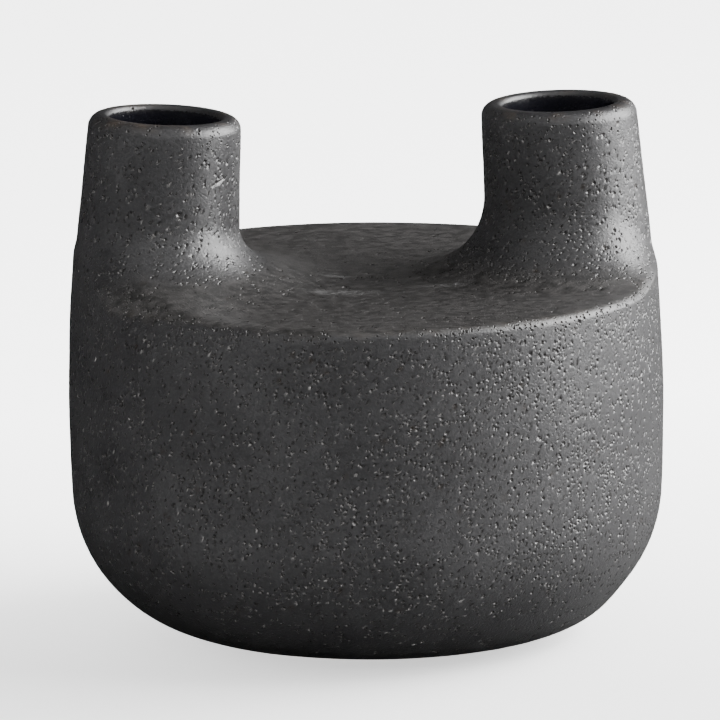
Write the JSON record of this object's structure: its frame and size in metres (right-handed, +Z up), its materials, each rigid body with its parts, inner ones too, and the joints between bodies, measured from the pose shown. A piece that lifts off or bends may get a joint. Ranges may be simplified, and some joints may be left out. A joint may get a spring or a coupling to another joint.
{
  "type": "stoneware vase",
  "caption": "Squat round stoneware vase with a flat shoulder and paired leaning necks that flow from it, under a dark pitted glaze.",
  "frame": {"origin": "centre of the foot, on the surface that the vase stands on", "axes": "+Z up, X through both necks, Y from front to back"},
  "size_m": [0.2, 0.1999, 0.1793],
  "materials": {
    "dark_glaze": "satin, finely pitted",
    "liner_glaze": "semi-gloss",
    "stoneware": "bare fired clay"
  },
  "bodies": {
    "root": {"bowl": "stoneware", "foot_ring": "stoneware", "left_neck": "stoneware", "right_neck": "stoneware", "shoulder_slab": "stoneware", "shoulder_seam_coil": "stoneware", "left_neck_collar": "stoneware", "right_neck_collar": "stoneware", "outer_glaze": "dark_glaze", "liner_glaze": "liner_glaze"}
  },
  "joints": []
}
